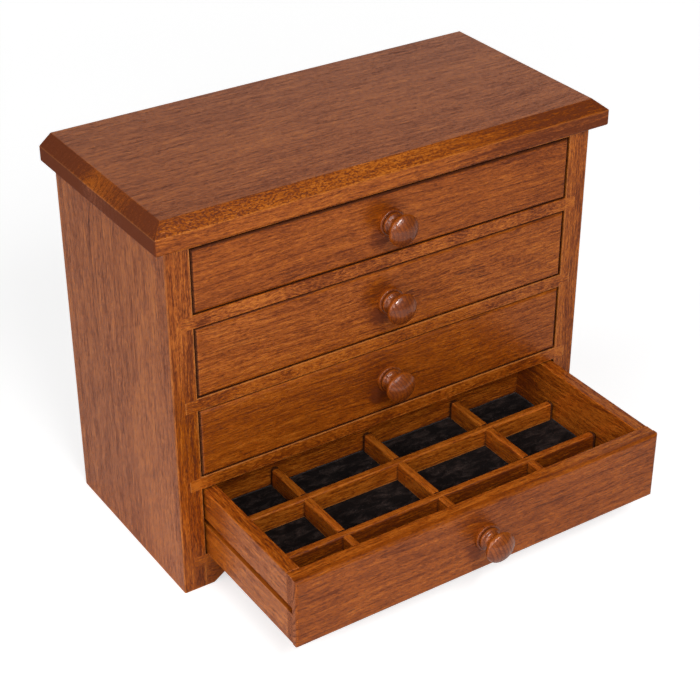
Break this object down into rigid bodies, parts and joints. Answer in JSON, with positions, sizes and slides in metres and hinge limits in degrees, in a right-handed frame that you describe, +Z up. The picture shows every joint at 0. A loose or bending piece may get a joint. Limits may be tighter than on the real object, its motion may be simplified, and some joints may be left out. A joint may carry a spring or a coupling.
{
  "type": "jewelry cabinet",
  "caption": "Small wooden chest of drawers for jewelry, with a thick sloped-edge top, turned knobs and a bottom drawer pulled out to show its felt-lined compartments.",
  "frame": {"origin": "middle of the footprint at floor level, with the bottom drawer pulled out as pictured", "axes": "+X to the right seen from the front, +Y towards the back, +Z up"},
  "size_m": [0.402, 0.331, 0.3245],
  "materials": {
    "case_wood": "satin lacquered reddish brown wood with fine straight grain",
    "front_wood": "satin lacquered reddish brown wood, grain along the drawer",
    "drawer_wood": "satin lacquered warm brown wood inside the drawers",
    "thin_panel": "thin stained plywood",
    "knob_wood": "glossy lacquered turned wood",
    "felt": "black felt with a short nap",
    "screw_steel": "plain steel wood screws"
  },
  "bodies": {
    "case": {"back_panel": "thin_panel", "back_screws": "screw_steel", "bottom_panel": "thin_panel", "bottom_rail": "case_wood", "left_side": "case_wood", "rail_1": "case_wood", "rail_2": "case_wood", "rail_3": "case_wood", "rear_top_rail": "case_wood", "right_side": "case_wood", "runners_1": "drawer_wood", "runners_2": "drawer_wood", "runners_3": "drawer_wood", "runners_4": "drawer_wood", "top_board": "case_wood", "top_rail": "case_wood", "top_screws": "screw_steel"},
    "drawer_1": {"drawer_1_back": "drawer_wood", "drawer_1_bottom": "thin_panel", "drawer_1_box_front": "drawer_wood", "drawer_1_front": "front_wood", "drawer_1_knob": "knob_wood", "drawer_1_knob_screw": "screw_steel", "drawer_1_left_side": "drawer_wood", "drawer_1_lining": "felt", "drawer_1_right_side": "drawer_wood"},
    "drawer_2": {"drawer_2_back": "drawer_wood", "drawer_2_bottom": "thin_panel", "drawer_2_box_front": "drawer_wood", "drawer_2_front": "front_wood", "drawer_2_knob": "knob_wood", "drawer_2_knob_screw": "screw_steel", "drawer_2_left_side": "drawer_wood", "drawer_2_lining": "felt", "drawer_2_right_side": "drawer_wood"},
    "drawer_3": {"drawer_3_back": "drawer_wood", "drawer_3_bottom": "thin_panel", "drawer_3_box_front": "drawer_wood", "drawer_3_front": "front_wood", "drawer_3_knob": "knob_wood", "drawer_3_knob_screw": "screw_steel", "drawer_3_left_side": "drawer_wood", "drawer_3_lining": "felt", "drawer_3_right_side": "drawer_wood"},
    "drawer_4": {"cross_divider_left": "drawer_wood", "cross_divider_middle": "drawer_wood", "cross_divider_right": "drawer_wood", "drawer_4_back": "drawer_wood", "drawer_4_bottom": "thin_panel", "drawer_4_box_front": "drawer_wood", "drawer_4_front": "front_wood", "drawer_4_knob": "knob_wood", "drawer_4_knob_screw": "screw_steel", "drawer_4_left_side": "drawer_wood", "drawer_4_lining": "felt", "drawer_4_right_side": "drawer_wood", "long_divider_front": "drawer_wood", "long_divider_rear": "drawer_wood"}
  },
  "joints": [
    {"name": "drawer_1_slide", "type": "slide", "parent": "case", "child": "drawer_1", "axis": [0, -1, 0], "range_m": [0, 0.14]},
    {"name": "drawer_2_slide", "type": "slide", "parent": "case", "child": "drawer_2", "axis": [0, -1, 0], "range_m": [0, 0.14]},
    {"name": "drawer_3_slide", "type": "slide", "parent": "case", "child": "drawer_3", "axis": [0, -1, 0], "range_m": [0, 0.14]},
    {"name": "drawer_4_slide", "type": "slide", "parent": "case", "child": "drawer_4", "axis": [0, -1, 0], "range_m": [-0.1323, 0.0077]}
  ]
}
